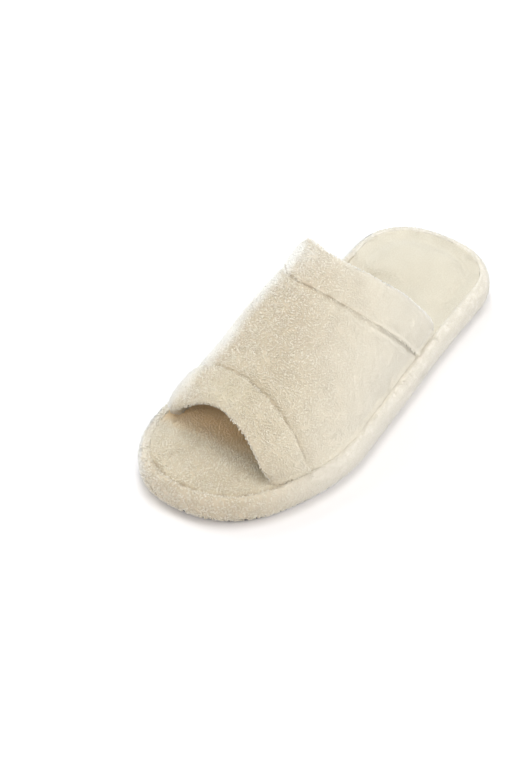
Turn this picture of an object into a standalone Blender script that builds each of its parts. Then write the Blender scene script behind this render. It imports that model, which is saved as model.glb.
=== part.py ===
"""Open-toe terry slipper for the left foot, standing empty on its sole.

Metres, +Z up. The toe points to -Y and the heel to +Y. +X is the wearer's left, the outer
(lateral) side of the foot. The origin is on the floor, under the middle of the slipper.
"""

from collections import namedtuple
import math

import bmesh
import bpy
import numpy as np

for old in list(bpy.data.objects):
    bpy.data.objects.remove(old)

MM = 0.001

# Driving dimensions of the sole
SOLE_LENGTH = 265 * MM
TOE_SWING = 11.6 * MM           # how far the toe's middle swings towards the big toe
SWING_START = 0.45              # share of the length, from the heel, where the swing begins
HEEL_CAP_SHARE = 0.14           # share of the length that the round heel takes
HEEL_CAP_POWER = 2.23
TOE_CAP_SHARE = 0.26
TOE_CAP_POWER = 2.33
OUTLINE_POINTS = 96
GAP = 0.3 * MM                  # sewn and glued pieces lie this far apart

# Half widths of the sole at shares of its length from the heel, before the ends are rounded
SoleSection = namedtuple("SoleSection", "along lateral medial")
SOLE_SECTIONS = (
    SoleSection(0.00, 42.1 * MM, 41.7 * MM),
    SoleSection(0.15, 42.1 * MM, 41.7 * MM),
    SoleSection(0.30, 43.5 * MM, 41.0 * MM),
    SoleSection(0.44, 46.2 * MM, 41.9 * MM),
    SoleSection(0.58, 49.7 * MM, 46.2 * MM),
    SoleSection(0.71, 53.4 * MM, 50.6 * MM),
    SoleSection(0.86, 50.0 * MM, 52.5 * MM),
    SoleSection(1.00, 50.0 * MM, 52.5 * MM),
)

# Edge profiles, as distances in from the sole's outline and heights over the floor
EdgeRow = namedtuple("EdgeRow", "inset height")
OUTSOLE_THICKNESS = 2.0 * MM
OUTSOLE_INSET = 4.0 * MM
OUTSOLE_CHAMFER = 0.5 * MM
SEAM_INSET = 6.0 * MM           # seam between the wrapped band and the insole
SEAM_HEIGHT = 17.0 * MM
RECESS_HEIGHT = 10.0 * MM
PLATFORM_BOTTOM = OUTSOLE_THICKNESS + GAP
PLATFORM_EDGE = (
    EdgeRow(5.0 * MM, PLATFORM_BOTTOM),
    EdgeRow(2.4 * MM, 2.8 * MM),
    EdgeRow(0.7 * MM, 4.6 * MM),
    EdgeRow(0.0 * MM, 8.0 * MM),
    EdgeRow(0.0 * MM, 11.5 * MM),
    EdgeRow(0.6 * MM, 14.6 * MM),
    EdgeRow(1.9 * MM, 16.9 * MM),
    EdgeRow(3.6 * MM, 18.1 * MM),
    EdgeRow(5.0 * MM, 17.9 * MM),
    EdgeRow(SEAM_INSET, SEAM_HEIGHT),
    EdgeRow(SEAM_INSET, RECESS_HEIGHT),
)
INSOLE_EDGE = (
    EdgeRow(SEAM_INSET + GAP, RECESS_HEIGHT + GAP),
    EdgeRow(SEAM_INSET + GAP, 16.2 * MM),
    EdgeRow(7.2 * MM, SEAM_HEIGHT),
    EdgeRow(13.5 * MM, SEAM_HEIGHT),
    EdgeRow(18.5 * MM, 17.9 * MM),
    EdgeRow(26.0 * MM, 18.3 * MM),
)

# The upper: a padded band over the instep, worked out from its middle surface
UPPER_BASE = SEAM_HEIGHT + GAP
UPPER_INSET = 9.3 * MM          # middle of the wall, in from the sole's outline
CREST_SHIFT = 6.8 * MM          # the instep's crest lies this far to the medial side
WALL = 6.0 * MM                 # lofty terry on both faces with thin foam between
ROLL_THICKNESS = 9.2 * MM
ROLL_POWER = 2.6                # how square a roll's section is (2 is an ellipse)
TOE_DROOP = 8.0 * MM            # how far the toe roll's lip hangs at the medial shoulder
DROOP_POWER = 7                 # the higher, the closer the droop keeps to the medial side
SEAM_WALL = 4.5 * MM            # the wall where a roll's seam pulls it together
SEAM_REACH = 9.0 * MM           # how far the seam's pull reaches into the band
OUTER_AT_BASE = UPPER_INSET - SEAM_INSET - GAP     # at the seam the wall is pressed to this,
INNER_AT_BASE = 1.8 * MM                           # outside and inside its middle surface
PRESSED_HEIGHT = 9.0 * MM       # and it is at full thickness this far above the seam

# How finely the upper is divided
ARCH_STEPS = 42                 # from the lateral seam over the crest to the medial seam
BODY_STEPS = 6                  # between the two rolls
ROLL_STATIONS = (0.0, 0.015, 0.06, 0.13, 0.25, 0.42, 0.6, 0.77, 0.9, 1.0)    # shares of a roll
SEAM_STATIONS = (0.3, 0.7)      # shares of the seam's reach
PATH_SAMPLES = 241
SLANT_STEP = 0.01
FOOTPRINT_POINTS = 480

# Where the band's two edges run: Y at either side of the foot and at the crest, how the edge
# leans between them, and the width of its roll, square across from its lip to its seam, as far
# as the crest and at the medial end
EdgeLine = namedtuple("EdgeLine", "lateral medial crest lean roll medial_roll")
FRONT_EDGE = EdgeLine(-103.5 * MM, -87.1 * MM, -92.2 * MM, 1.9, 24.8 * MM, 24.8 * MM)
REAR_EDGE = EdgeLine(55.5 * MM, 67.0 * MM, 9.6 * MM, 0.9, 23.5 * MM, 15.5 * MM)

# The foot's arch under the band, at places along Y: crest height over the base, and how
# square the arch's shoulders are (2 is an ellipse)
ArchSection = namedtuple("ArchSection", "y crest squareness")
ARCH_SECTIONS = (
    ArchSection(-110 * MM, 26.3 * MM, 1.82),
    ArchSection(-80 * MM, 27.5 * MM, 1.93),
    ArchSection(-50 * MM, 36.0 * MM, 2.12),
    ArchSection(-20 * MM, 53.0 * MM, 2.30),
    ArchSection(15 * MM, 65.5 * MM, 2.52),
    ArchSection(65 * MM, 71.0 * MM, 2.55),
)

SMOOTH_ANGLE = math.radians(38)
TERRY_COLOUR = (0.80, 0.72, 0.58, 1.0)
INSOLE_COLOUR = (0.79, 0.71, 0.58, 1.0)
RUBBER_COLOUR = (0.30, 0.28, 0.27, 1.0)
TERRY_ROUGHNESS = 0.95
RUBBER_ROUGHNESS = 0.75


def smooth_step(value):
    """Ease from 0 to 1."""
    value = np.clip(value, 0.0, 1.0)
    return value * value * (3.0 - 2.0 * value)


def read_table(rows, column, places):
    """Read one column of a table at places along its first column, on a smooth curve."""
    knots = np.array([row[0] for row in rows])
    values = np.array([getattr(row, column) for row in rows])
    slopes = np.gradient(values, knots)
    slopes[0] = 0.0
    slopes[-1] = 0.0
    places = np.clip(places, knots[0], knots[-1])
    lower = np.clip(np.searchsorted(knots, places, side="right") - 1, 0, len(knots) - 2)
    span = knots[lower + 1] - knots[lower]
    share = (places - knots[lower]) / span
    start = values[lower] * (1 + 2 * share) + span * slopes[lower] * share
    end = values[lower + 1] * (3 - 2 * share) + span * slopes[lower + 1] * (share - 1)
    return start * (1 - share) ** 2 + end * share ** 2


def end_cap(share, power):
    """Half width of a round end, from 0 at its tip (share 0) to 1 where it meets the side."""
    share = np.clip(share, 0.0, 1.0)
    return (1.0 - (1.0 - share) ** power) ** (1.0 / power)


def raw_half_outline(along, side, sign):
    """X of one side of the sole at shares of the length, before the outline is centred."""
    width = read_table(SOLE_SECTIONS, side, along)
    width = width * end_cap(along / HEEL_CAP_SHARE, HEEL_CAP_POWER)
    width = width * end_cap((1.0 - along) / TOE_CAP_SHARE, TOE_CAP_POWER)
    swing = np.clip((along - SWING_START) / (1.0 - SWING_START), 0.0, 1.0) ** 2
    return sign * width - TOE_SWING * swing


def fine_shares():
    """Shares of the length from the heel, close together at the round ends."""
    return 0.5 - 0.5 * np.cos(np.linspace(0.0, math.pi, PATH_SAMPLES))


def centring_shift():
    """How far to move the raw outline along X so that its box is centred on the origin."""
    along = fine_shares()
    lateral = raw_half_outline(along, "lateral", 1.0)
    medial = raw_half_outline(along, "medial", -1.0)
    return -(lateral.max() + medial.min()) / 2.0


CENTRING = centring_shift()


def outline_x(y, side):
    """X of the sole's lateral or medial outline at places along Y."""
    sign = 1.0 if side == "lateral" else -1.0
    return raw_half_outline(0.5 - np.asarray(y) / SOLE_LENGTH, side, sign) + CENTRING


def even_spacing(points, count):
    """Spread a closed line's points evenly along it."""
    closed = np.vstack([points, points[:1]])
    steps = np.linalg.norm(np.diff(closed, axis=0), axis=1)
    travelled = np.concatenate([[0.0], np.cumsum(steps)])
    wanted = np.linspace(0.0, travelled[-1], count, endpoint=False)
    columns = [np.interp(wanted, travelled, closed[:, axis]) for axis in range(2)]
    return np.stack(columns, axis=1)


def sole_outline(count):
    """The sole's outline seen from above, anticlockwise from the heel, evenly spaced."""
    y = SOLE_LENGTH * (0.5 - fine_shares())
    medial = np.stack([outline_x(y, "medial"), y], axis=1)
    lateral = np.stack([outline_x(y, "lateral"), y], axis=1)
    return even_spacing(np.vstack([medial[:-1], lateral[:0:-1]]), count)


def inset_outline(outline, distance):
    """Move an anticlockwise outline inwards."""
    along = np.roll(outline, -1, axis=0) - np.roll(outline, 1, axis=0)
    inward = np.stack([-along[:, 1], along[:, 0]], axis=1)
    inward = inward / np.linalg.norm(inward, axis=1)[:, None]
    return outline + distance * inward


def footprint_sides():
    """The line that the upper's wall stands on, as a medial and a lateral half, toe to heel."""
    footprint = inset_outline(sole_outline(FOOTPRINT_POINTS), UPPER_INSET)
    footprint = np.roll(footprint, -np.argmax(footprint[:, 1]), axis=0)
    toe = np.argmin(footprint[:, 1])
    return footprint[toe::-1], footprint[toe:]


def add_piece(name, mesh_data, material, parent):
    """Make one named object from a bmesh, shaded smooth with its real edges kept sharp."""
    bmesh.ops.recalc_face_normals(mesh_data, faces=mesh_data.faces[:])
    mesh = bpy.data.meshes.new(name)
    mesh_data.to_mesh(mesh)
    mesh_data.free()
    mesh.shade_smooth()
    mesh.set_sharp_from_angle(angle=SMOOTH_ANGLE)
    mesh.materials.append(material)
    piece = bpy.data.objects.new(name, mesh)
    piece.parent = parent
    bpy.context.collection.objects.link(piece)
    return piece


def plain_material(name, colour, roughness):
    """A plain, non-metallic material."""
    material = bpy.data.materials.new(name)
    material.use_nodes = True
    shader = material.node_tree.nodes["Principled BSDF"]
    shader.inputs["Base Color"].default_value = colour
    shader.inputs["Roughness"].default_value = roughness
    shader.inputs["Metallic"].default_value = 0.0
    return material


def bridge(mesh_data, lower, upper):
    """Join two closed rings of vertices with a band of faces."""
    count = len(lower)
    for index in range(count):
        after = (index + 1) % count
        mesh_data.faces.new((lower[index], lower[after], upper[after], upper[index]))


def stacked_piece(edge_rows):
    """A closed solid whose rings follow the sole's outline, each at its inset and height."""
    mesh_data = bmesh.new()
    outline = sole_outline(OUTLINE_POINTS)
    rings = []
    for row in edge_rows:
        ring = inset_outline(outline, row.inset)
        rings.append([mesh_data.verts.new((x, y, row.height)) for x, y in ring])
    for lower, upper in zip(rings, rings[1:]):
        bridge(mesh_data, lower, upper)
    mesh_data.faces.new(rings[0][::-1])
    mesh_data.faces.new(rings[-1])
    return mesh_data


def outsole_edge():
    """The outsole's edge: a thin sheet with its lower edge eased."""
    return (
        EdgeRow(OUTSOLE_INSET + OUTSOLE_CHAMFER, 0.0),
        EdgeRow(OUTSOLE_INSET, OUTSOLE_CHAMFER),
        EdgeRow(OUTSOLE_INSET, OUTSOLE_THICKNESS),
    )


FOOTPRINT = footprint_sides()


def edge_line_y(line, angle):
    """Y of one edge of the band at angles over the foot, 0 lateral to pi medial."""
    middle = (line.lateral + line.medial) / 2.0
    half = (line.lateral - line.medial) / 2.0
    height = np.sin(angle)
    return middle + half * np.cos(angle) + (line.crest - middle) * height ** line.lean


def toe_droop(medial):
    """How far the toe roll's lip hangs, at shares of the way from lateral to medial."""
    shape = medial ** DROOP_POWER * (1.0 - medial)
    peak = DROOP_POWER ** DROOP_POWER / (DROOP_POWER + 1.0) ** (DROOP_POWER + 1)
    return TOE_DROOP * shape / peak


def middle_surface(share, angle):
    """Points of the wall's middle: share 0 is the toe edge, 1 the rear edge."""
    front = edge_line_y(FRONT_EDGE, angle)
    rear = edge_line_y(REAR_EDGE, angle)
    y = front + (rear - front) * share
    medial, lateral = [np.interp(y, side[:, 1], side[:, 0]) for side in FOOTPRINT]
    across = np.cos(angle)
    up = np.clip(np.sin(angle), 0.0, 1.0)
    power = 2.0 / read_table(ARCH_SECTIONS, "squareness", y)
    reach = np.sign(across) * np.abs(across) ** power
    x = (lateral + medial) / 2.0 - CREST_SHIFT * up + (lateral - medial) / 2.0 * reach
    hang = toe_droop((1.0 - across) / 2.0)
    over_roll = np.clip(1.0 - (y - front) / FRONT_EDGE.roll, 0.0, 1.0)
    z = UPPER_BASE + read_table(ARCH_SECTIONS, "crest", y) * up ** power - hang * over_roll ** 2
    return np.stack([x, y, z], axis=-1)


def roll_width(line, share, angle):
    """A roll's width along a section that may cross the band's edge at a slant."""
    inside = abs(share - SLANT_STEP)
    across = middle_surface(inside, angle) - middle_surface(share, angle)
    angles = np.clip([angle - SLANT_STEP, angle + SLANT_STEP], 0.0, math.pi)
    along = middle_surface(share, angles[1]) - middle_surface(share, angles[0])
    lengths = np.linalg.norm(across) * np.linalg.norm(along)
    square_across = line.roll + (line.medial_roll - line.roll) * smooth_step(-math.cos(angle))
    return square_across * lengths / np.linalg.norm(np.cross(across, along))


def half_wall(from_lip, width):
    """Half the wall: a round lip, a puffed roll, a pinch at its seam, then the plain band."""
    across_roll = np.clip(from_lip / width, 0.0, 1.0)
    puff = (1.0 - np.abs(2.0 * across_roll - 1.0) ** ROLL_POWER) ** (1.0 / ROLL_POWER)
    floor = np.where(across_roll < 0.5, 0.0, SEAM_WALL)
    roll = floor + (ROLL_THICKNESS - floor) * puff
    band = SEAM_WALL + (WALL - SEAM_WALL) * smooth_step((from_lip - width) / SEAM_REACH)
    return 0.5 * np.where(from_lip < width, roll, band)


def pressed(half, at_base, above_base):
    """One side of the wall, pressed thinner where it is sewn to the sole."""
    thin = np.minimum(half, at_base)
    return thin + (half - thin) * smooth_step(above_base / PRESSED_HEIGHT)


def roll_stations(width):
    """Distances from a lip at which a section has points, over the roll and past its seam."""
    roll = [station * width for station in ROLL_STATIONS]
    seam = [width + station * SEAM_REACH for station in SEAM_STATIONS]
    return np.array(roll + seam)


def wall_section(angle):
    """The wall from toe edge to rear edge at one angle: its middle line and half its thickness."""
    fine = middle_surface(np.linspace(0.0, 1.0, PATH_SAMPLES), angle)
    steps = np.linalg.norm(np.diff(fine, axis=0), axis=1)
    travelled = np.concatenate([[0.0], np.cumsum(steps)])
    length = travelled[-1]
    front_width = roll_width(FRONT_EDGE, 0.0, angle)
    rear_width = roll_width(REAR_EDGE, 1.0, angle)
    front = roll_stations(front_width)
    rear = length - roll_stations(rear_width)[::-1]
    body = np.linspace(front[-1], rear[0], BODY_STEPS + 2)[1:-1]
    stations = np.concatenate([front, body, rear])
    middle = [np.interp(stations, travelled, fine[:, axis]) for axis in range(3)]
    front_half = half_wall(stations, front_width)
    rear_half = half_wall(length - stations, rear_width)
    return np.stack(middle, axis=1), np.where(stations < length / 2.0, front_half, rear_half)


def upper_walls():
    """Outer and inner faces of the band, as grids of points: angle, then toe to rear."""
    angles = np.linspace(0.0, math.pi, ARCH_STEPS + 1)
    sections = [wall_section(angle) for angle in angles]
    middle = np.array([section[0] for section in sections])
    half = np.array([section[1] for section in sections])
    normal = np.cross(np.gradient(middle, axis=1), np.gradient(middle, axis=0))
    normal[[0, -1], :, 2] = 0.0     # the wall stands upright at its two sewn ends
    normal = normal / np.linalg.norm(normal, axis=2)[:, :, None]
    if normal[ARCH_STEPS // 2, len(half[0]) // 2, 2] < 0.0:
        normal = -normal
    above_base = middle[:, :, 2] - UPPER_BASE
    outward = normal * pressed(half, OUTER_AT_BASE, above_base)[:, :, None]
    inward = normal * pressed(half, INNER_AT_BASE, above_base)[:, :, None]
    return middle + outward, middle - inward


def upper_piece():
    """One hollow band: rings round the wall's section, swept over the instep."""
    mesh_data = bmesh.new()
    outer, inner = upper_walls()
    rings = []
    for outer_line, inner_line in zip(outer, inner):
        there = [mesh_data.verts.new(point) for point in outer_line]
        back = [mesh_data.verts.new(point) for point in inner_line[-2:0:-1]]
        rings.append(there + back)
    for before, after in zip(rings, rings[1:]):
        bridge(mesh_data, before, after)
    count = len(outer[0])
    for ring in (rings[0], rings[-1]):
        there = ring[:count]
        back = [ring[0]] + ring[:count - 1:-1] + [ring[count - 1]]
        for index in range(count - 1):
            corners = (there[index], there[index + 1], back[index + 1], back[index])
            mesh_data.faces.new(dict.fromkeys(corners))
    return mesh_data


def build_slipper():
    """Build the slipper from the floor up."""
    slipper = bpy.data.objects.new("slipper", None)
    bpy.context.collection.objects.link(slipper)
    terry = plain_material("terry", TERRY_COLOUR, TERRY_ROUGHNESS)
    band_terry = plain_material("band_terry", TERRY_COLOUR, TERRY_ROUGHNESS)
    insole_terry = plain_material("insole_terry", INSOLE_COLOUR, TERRY_ROUGHNESS)
    rubber = plain_material("outsole_rubber", RUBBER_COLOUR, RUBBER_ROUGHNESS)
    add_piece("outsole", stacked_piece(outsole_edge()), rubber, slipper)
    add_piece("platform", stacked_piece(PLATFORM_EDGE), band_terry, slipper)
    add_piece("insole", stacked_piece(INSOLE_EDGE), insole_terry, slipper)
    add_piece("upper", upper_piece(), terry, slipper)


build_slipper()
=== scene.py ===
"""Looks of the open-toe terry slipper: lofty cream terry, pulled-in seams, a thin rubber outsole.

Metres, +Z up, in the part's own frame: the toe points to -Y, +X is the wearer's left, and the
origin is on the floor under the middle of the slipper.
"""

from collections import namedtuple
import math

import bmesh
import bpy
from mathutils import Matrix, Vector, noise
import numpy as np


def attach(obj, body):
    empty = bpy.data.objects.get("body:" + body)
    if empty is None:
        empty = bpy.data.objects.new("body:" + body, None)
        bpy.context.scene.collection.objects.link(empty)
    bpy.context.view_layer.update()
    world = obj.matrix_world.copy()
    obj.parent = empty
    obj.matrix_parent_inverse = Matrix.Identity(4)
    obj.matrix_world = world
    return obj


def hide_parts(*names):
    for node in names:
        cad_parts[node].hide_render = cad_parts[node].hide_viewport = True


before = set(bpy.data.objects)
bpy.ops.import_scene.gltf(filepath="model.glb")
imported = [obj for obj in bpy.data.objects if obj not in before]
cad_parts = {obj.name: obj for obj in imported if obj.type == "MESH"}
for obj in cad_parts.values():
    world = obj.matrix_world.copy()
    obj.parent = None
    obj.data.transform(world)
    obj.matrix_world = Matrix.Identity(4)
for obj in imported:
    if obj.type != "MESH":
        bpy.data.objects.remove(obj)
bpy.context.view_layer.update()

MM = 0.001
UP = np.array([0.0, 0.0, 1.0])
SMALLEST_LENGTH = 1e-12  # what is divided by is at least this
SMALLEST_AREA = 1e-18

# The sole's outline, as in the part's source
SOLE_LENGTH = 265 * MM
TOE_SWING = 11.6 * MM  # how far the toe's middle swings towards the big toe
SWING_START = 0.45  # share of the length, from the heel, where the swing begins
HEEL_CAP_SHARE = 0.14  # share of the length that the round heel takes
HEEL_CAP_POWER = 2.23
TOE_CAP_SHARE = 0.26
TOE_CAP_POWER = 2.33
SoleSection = namedtuple("SoleSection", "along lateral medial")
SOLE_SECTIONS = (
    SoleSection(0.00, 42.1 * MM, 41.7 * MM),
    SoleSection(0.15, 42.1 * MM, 41.7 * MM),
    SoleSection(0.30, 43.5 * MM, 41.0 * MM),
    SoleSection(0.44, 46.2 * MM, 41.9 * MM),
    SoleSection(0.58, 49.7 * MM, 46.2 * MM),
    SoleSection(0.71, 53.4 * MM, 50.6 * MM),
    SoleSection(0.86, 50.0 * MM, 52.5 * MM),
    SoleSection(1.00, 50.0 * MM, 52.5 * MM),
)

# Edge profiles, as distances in from the sole's outline and heights over the floor
EdgeRow = namedtuple("EdgeRow", "inset height")
EdgePlace = namedtuple("EdgePlace", "travel inset height")
SEAM_INSET = 6.0 * MM  # seam between the wrapped band and the insole
SEAM_HEIGHT = 17.0 * MM
RECESS_HEIGHT = 10.0 * MM
GAP = 0.3 * MM
BAND_EDGE = (
    EdgeRow(5.0 * MM, 2.3 * MM),
    EdgeRow(2.4 * MM, 2.8 * MM),
    EdgeRow(0.7 * MM, 4.6 * MM),
    EdgeRow(0.0 * MM, 8.0 * MM),
    EdgeRow(0.0 * MM, 11.5 * MM),
    EdgeRow(0.6 * MM, 14.6 * MM),
    EdgeRow(1.9 * MM, 16.9 * MM),
    EdgeRow(3.6 * MM, 18.1 * MM),
    EdgeRow(5.0 * MM, 17.9 * MM),
    EdgeRow(SEAM_INSET, 17.3 * MM),
)
INSOLE_EDGE = (
    EdgeRow(SEAM_INSET + GAP, 17.1 * MM),
    EdgeRow(7.6 * MM, 17.2 * MM),
    EdgeRow(13.5 * MM, 17.0 * MM),
    EdgeRow(18.5 * MM, 17.9 * MM),
    EdgeRow(26.0 * MM, 18.3 * MM),
    EdgeRow(60.0 * MM, 18.3 * MM),
)

# The upper, as in the part's source
UPPER_BASE = SEAM_HEIGHT + GAP
UPPER_INSET = 9.3 * MM
CREST_SHIFT = 6.8 * MM
WALL = 6.0 * MM
ROLL_THICKNESS = 9.2 * MM
ROLL_POWER = 2.6
TOE_DROOP = 8.0 * MM
DROOP_POWER = 7
SEAM_WALL = 4.5 * MM
SEAM_REACH = 9.0 * MM
OUTER_AT_BASE = UPPER_INSET - SEAM_INSET - GAP
INNER_AT_BASE = 1.8 * MM
PRESSED_HEIGHT = 9.0 * MM
EdgeLine = namedtuple("EdgeLine", "lateral medial crest lean roll medial_roll")
FRONT_EDGE = EdgeLine(-103.5 * MM, -87.1 * MM, -92.2 * MM, 1.9, 24.8 * MM, 24.8 * MM)
REAR_EDGE = EdgeLine(55.5 * MM, 67.0 * MM, 9.6 * MM, 0.9, 23.5 * MM, 15.5 * MM)
ArchSection = namedtuple("ArchSection", "y crest squareness")
ARCH_SECTIONS = (
    ArchSection(-110 * MM, 26.3 * MM, 1.82),
    ArchSection(-80 * MM, 27.5 * MM, 1.93),
    ArchSection(-50 * MM, 36.0 * MM, 2.12),
    ArchSection(-20 * MM, 53.0 * MM, 2.30),
    ArchSection(15 * MM, 65.5 * MM, 2.52),
    ArchSection(65 * MM, 71.0 * MM, 2.55),
)

# How finely the cloth is divided
PATH_SAMPLES = 241
FOOTPRINT_POINTS = 960
SLANT_STEP = 0.01
ARCH_STEPS = 116
ROLL_STEPS = 28
REACH_STEPS = 8
BODY_STEPS = 46
BAND_POINTS = 540
BAND_ROWS = 30
INSOLE_ROWS = 170
INSOLE_COLUMNS = 66
END_MARGIN = 0.05 * MM  # the insole's end rows lie this far inside its tips

# Soft shape of the cloth
PILE_INSET = 0.6 * MM  # the cloth under the pile lies this far inside the solid's face
TOE_SEAM_FILL = -0.5 * MM  # a roll's crease is filled by this much, and below 0 it is deeper
REAR_SEAM_FILL = 0.55 * MM
ROLL_GROOVE_FILL = 0.9 * MM  # and by this much more where the pile is worn
SEAM_WIDTH = 1.5 * MM
SHOULDER_PUFF = 0.5 * MM  # the cloth swells beside a seam
SHOULDER_PLACE = 5.5 * MM
SHOULDER_WIDTH = 3.5 * MM
PUCKER_DEPTH = 0.35 * MM
PUCKER_REACH = 6.0 * MM
PUCKER_LENGTH = 8.0 * MM
LUMP_DEPTH = 0.3 * MM
LUMP_LENGTH = 11.0 * MM
SOLE_LUMP_LENGTH = 2.0 * LUMP_LENGTH

# Soft creases, in millimetres
Crease = namedtuple("Crease", "start end width depth")
CREASES = (
    Crease((-15.0, -75.0, 49.0), (-8.0, -84.0, 48.0), 5.0, 0.9),  # toe roll, medial of its crown
    Crease((4.0, -84.0, 47.0), (9.0, -96.0, 41.0), 5.0, 0.9),  # toe roll, lateral of its crown
    Crease((22.0, -86.0, 36.0), (28.0, -98.0, 28.0), 6.0, 0.7),  # toe roll, lateral end
    Crease((22.0, -53.0, 49.0), (38.0, -54.0, 36.0), 8.0, 1.0),  # band, beside the toe seam
    Crease((-6.0, -46.0, 58.0), (16.0, -34.0, 60.0), 10.0, 0.8),  # band, across its middle
    Crease((6.0, -7.0, 79.0), (26.0, -7.0, 68.0), 7.0, 0.8),  # band, beside the rear seam
)

# Seams: their thread, and the groove between the sole's band and its insole
SEAM_NEAR = 1.2 * MM  # cloth this near a roll's seam shows its thread
SOLE_SEAM_NEAR = 1.8 * MM  # and this near the sole's seam
ROLL_SEAM_FADE = 0.65  # by this share less where the pile is worn
SOLE_SEAM_FADE = 0.85
BASE_THREAD = 0.5  # the upper's base shows its thread by this share
DASH_LENGTH = 5.0 * MM  # a stitched line shows in dashes about this long
DASH_SHARE = 0.6  # that take up about this share of it
DASH_CONTRAST = 1.3
GROOVE_FILL = 0.7 * MM  # the sole's groove is filled by this much where the pile is worn
GROOVE_WIDTH = 3.5 * MM
INSOLE_GROOVE_WIDTH = 2.0 * GROOVE_WIDTH
TOE_GROOVE = 0.9 * MM  # and is deeper across the toe by this much
TOE_GROOVE_WIDTH = 1.7 * MM
CALM_WIDTH = 2.6 * MM  # the pile stands level this near a seam that is filled
COVERED_DROP = 1.2 * MM  # the insole's edge lies lower under the upper's base
COVER_START = -97.0 * MM  # along Y, where the upper begins to cover the insole
COVER_END = 30.0 * MM
COVER_FADE = 20.0 * MM
RIM_DROP = 0.8 * MM  # the sole's rim lies lower along the medial side of the toe
RIM_INSET = 3.6 * MM
RIM_WIDTH = 1.8 * MM
RIM_HEIGHT = 15.0 * MM  # from this height upwards
RIM_START = 30.0 * MM  # from this far towards the medial side
RIM_END = -60.0 * MM  # and from this far along Y towards the toe
RIM_FADE = 10.0 * MM

# Soft shape of the upper alone
BASE_FLARE = 0.9 * MM  # its base spreads over the sole's seam on the lateral side
BASE_FLARE_HEIGHT = 2.5 * MM
TUCK_DEPTH = 1.0 * MM  # its edge is tucked this far into the sole's seam
BODY_PUFF = 1.8 * MM  # its padding swells between the two seams
BODY_PUFF_HEIGHT = 30.0 * MM  # in full this far above the sole
LIP_LIFT = 0.9 * MM  # the toe roll's lip rides up over the opening
LIP_SHIFT = 1.5 * MM  # its crown lies towards the lateral side
LIP_CROWN = math.radians(100)
LIP_CROWN_WIDTH = math.radians(40)
LIP_CROWN_LIFT = 2.1 * MM  # and is arched higher, most on the lateral side of the crown
LIP_CROWN_SIDE = math.radians(72)
LIP_FALL = 0.3  # its outside falls away to the lip by this share of its thickness
LIP_THINNING = 0.4  # and its inside rises to the lip by this share
ROUND_PULL = 4.0 * MM  # a roll's sewn ends are rounded back by this much
ROUND_HEIGHT = 8.0 * MM  # up to this height over the seam
ROLL_END_PUFF = 2.2 * MM  # the toe roll's medial end stays puffed inside
ROLL_END_REACH = 0.5  # in full over this share of the roll, from its lip

# Pile: bent tufts, with a root, a ring and a tip, in shares of a tuft's length and height
TuftPlace = namedtuple("TuftPlace", "along up")
TUFT_ROOT = TuftPlace(0.0, -0.7)
TUFT_RING = TuftPlace(0.42, 0.6)
TUFT_TIP = TuftPlace(1.0, 0.85)
TUFT_SIDES = 4
TUFT_LENGTH = 1.45 * MM
TUFT_HEIGHT = 0.85 * MM
TUFT_RADIUS = 0.45 * MM
TUFT_SPACING = 1.0 * MM
TUFT_SIZES = (0.75, 1.25)  # tufts differ in size between these shares
TUFT_HEIGHTS = (0.8, 1.2)  # and once more in height
RING_TILT = math.radians(25)
RING_PAINTED_SHADE = 0.3  # painted shade: a ring is paler above and deeper below by this share
ROOT_STRAY = 0.3  # roots stray from even places by this share of their spacing
GOLDEN_SHARE = (math.sqrt(5.0) - 1.0) / 2.0
NAP_LENGTH = 7.0 * MM  # over this distance the pile leans one way
NAP_SPREAD = 0.8  # how far single tufts stray from it
NAP_SEED = 16  # chooses the patches that lean together
SEAM_SHORT = 0.35  # tufts beside a seam are shorter by this share
SEAM_BARE = 0.7  # share of the tufts missing in a seam where the pile isn't worn
LINING_DENSITY = 0.55  # share of the tufts that the inside of the upper has
COVERED_THINNING = 0.5  # share of the tufts missing on the insole under the upper
BARE_ROWS = 3  # rows under the band that have no tufts
MAP_MARGIN = 0.1  # each tuft's square of a flat map has a margin of this share
PILE_SEEDS = {"upper_pile": 11, "roll_pile": 12, "lining_pile": 13, "band_pile": 14, "insole_pile": 15}

# Where the pile is worn: along the lateral side and across the heel
WORN_WAY = np.array([0.95, 0.3, 0.0])
WORN_START = -21.0 * MM  # along that way
WORN_SPAN = 60.0 * MM
WORN_HEEL_START = 62.0 * MM  # along Y
WORN_HEEL_SPAN = 30.0 * MM
FRESH_SOFTNESS = 0.1  # how far fresh tufts are shaded as one soft face
WORN_SOFTNESS = 0.95  # and worn ones
WORN_TONE = 0.1  # the shades of worn tufts differ by this share as much, so worn pile is paler, partly wear and partly painted light on the lateral side and heel
WORN_HEIGHT = 0.4  # worn tufts stand this share as high
WORN_ROOTS = 0.7  # and hide their roots' deeper colour, a painted shade, by this share
MEDIAL_START = 28.0 * MM  # the pile looks more even along the medial side too, from here
MEDIAL_SPAN = 20.0 * MM
MEDIAL_EVENNESS = 0.6  # by this share as much

# How the nap is coloured, from -1 where painted light makes it pale to 1 where it is dark: a deeper tone
# all over, a painted highlight where it faces the medial side or the heel, and patches of painted shade
# and painted light, in millimetres
NAP_SHADE = 0.35
PAINTED_HIGHLIGHT_SHARE = 0.6  # painted highlight: facing the medial side or the heel it is paler by this share
PAINTED_HIGHLIGHT_START = 0.35  # from this share of its normal
PAINTED_HIGHLIGHT_SPAN = 0.4
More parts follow.
